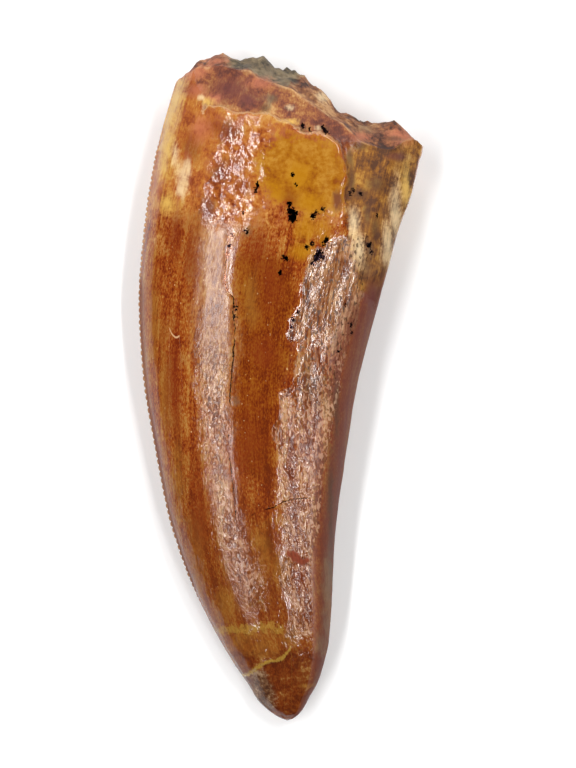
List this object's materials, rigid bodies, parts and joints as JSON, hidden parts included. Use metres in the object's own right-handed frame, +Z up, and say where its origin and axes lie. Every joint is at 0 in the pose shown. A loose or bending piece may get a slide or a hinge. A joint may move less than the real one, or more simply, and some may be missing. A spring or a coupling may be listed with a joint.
{
  "type": "fossil tooth",
  "caption": "Recurved fossil tooth crown of a meat-eating dinosaur, flattened from side to side, saw-edged front and back, broken off at the neck and lying on its side.",
  "frame": {"origin": "under the middle of the tooth's outline, on the surface it lies on", "axes": "+Y from the tip to the broken neck, +X from the serrated front edge to the back edge, +Z up out of the flank that faces the camera"},
  "size_m": [0.027, 0.0634, 0.0109],
  "materials": {
    "fossil": "gloss"
  },
  "bodies": {
    "root": {"tooth": "fossil"}
  },
  "joints": []
}
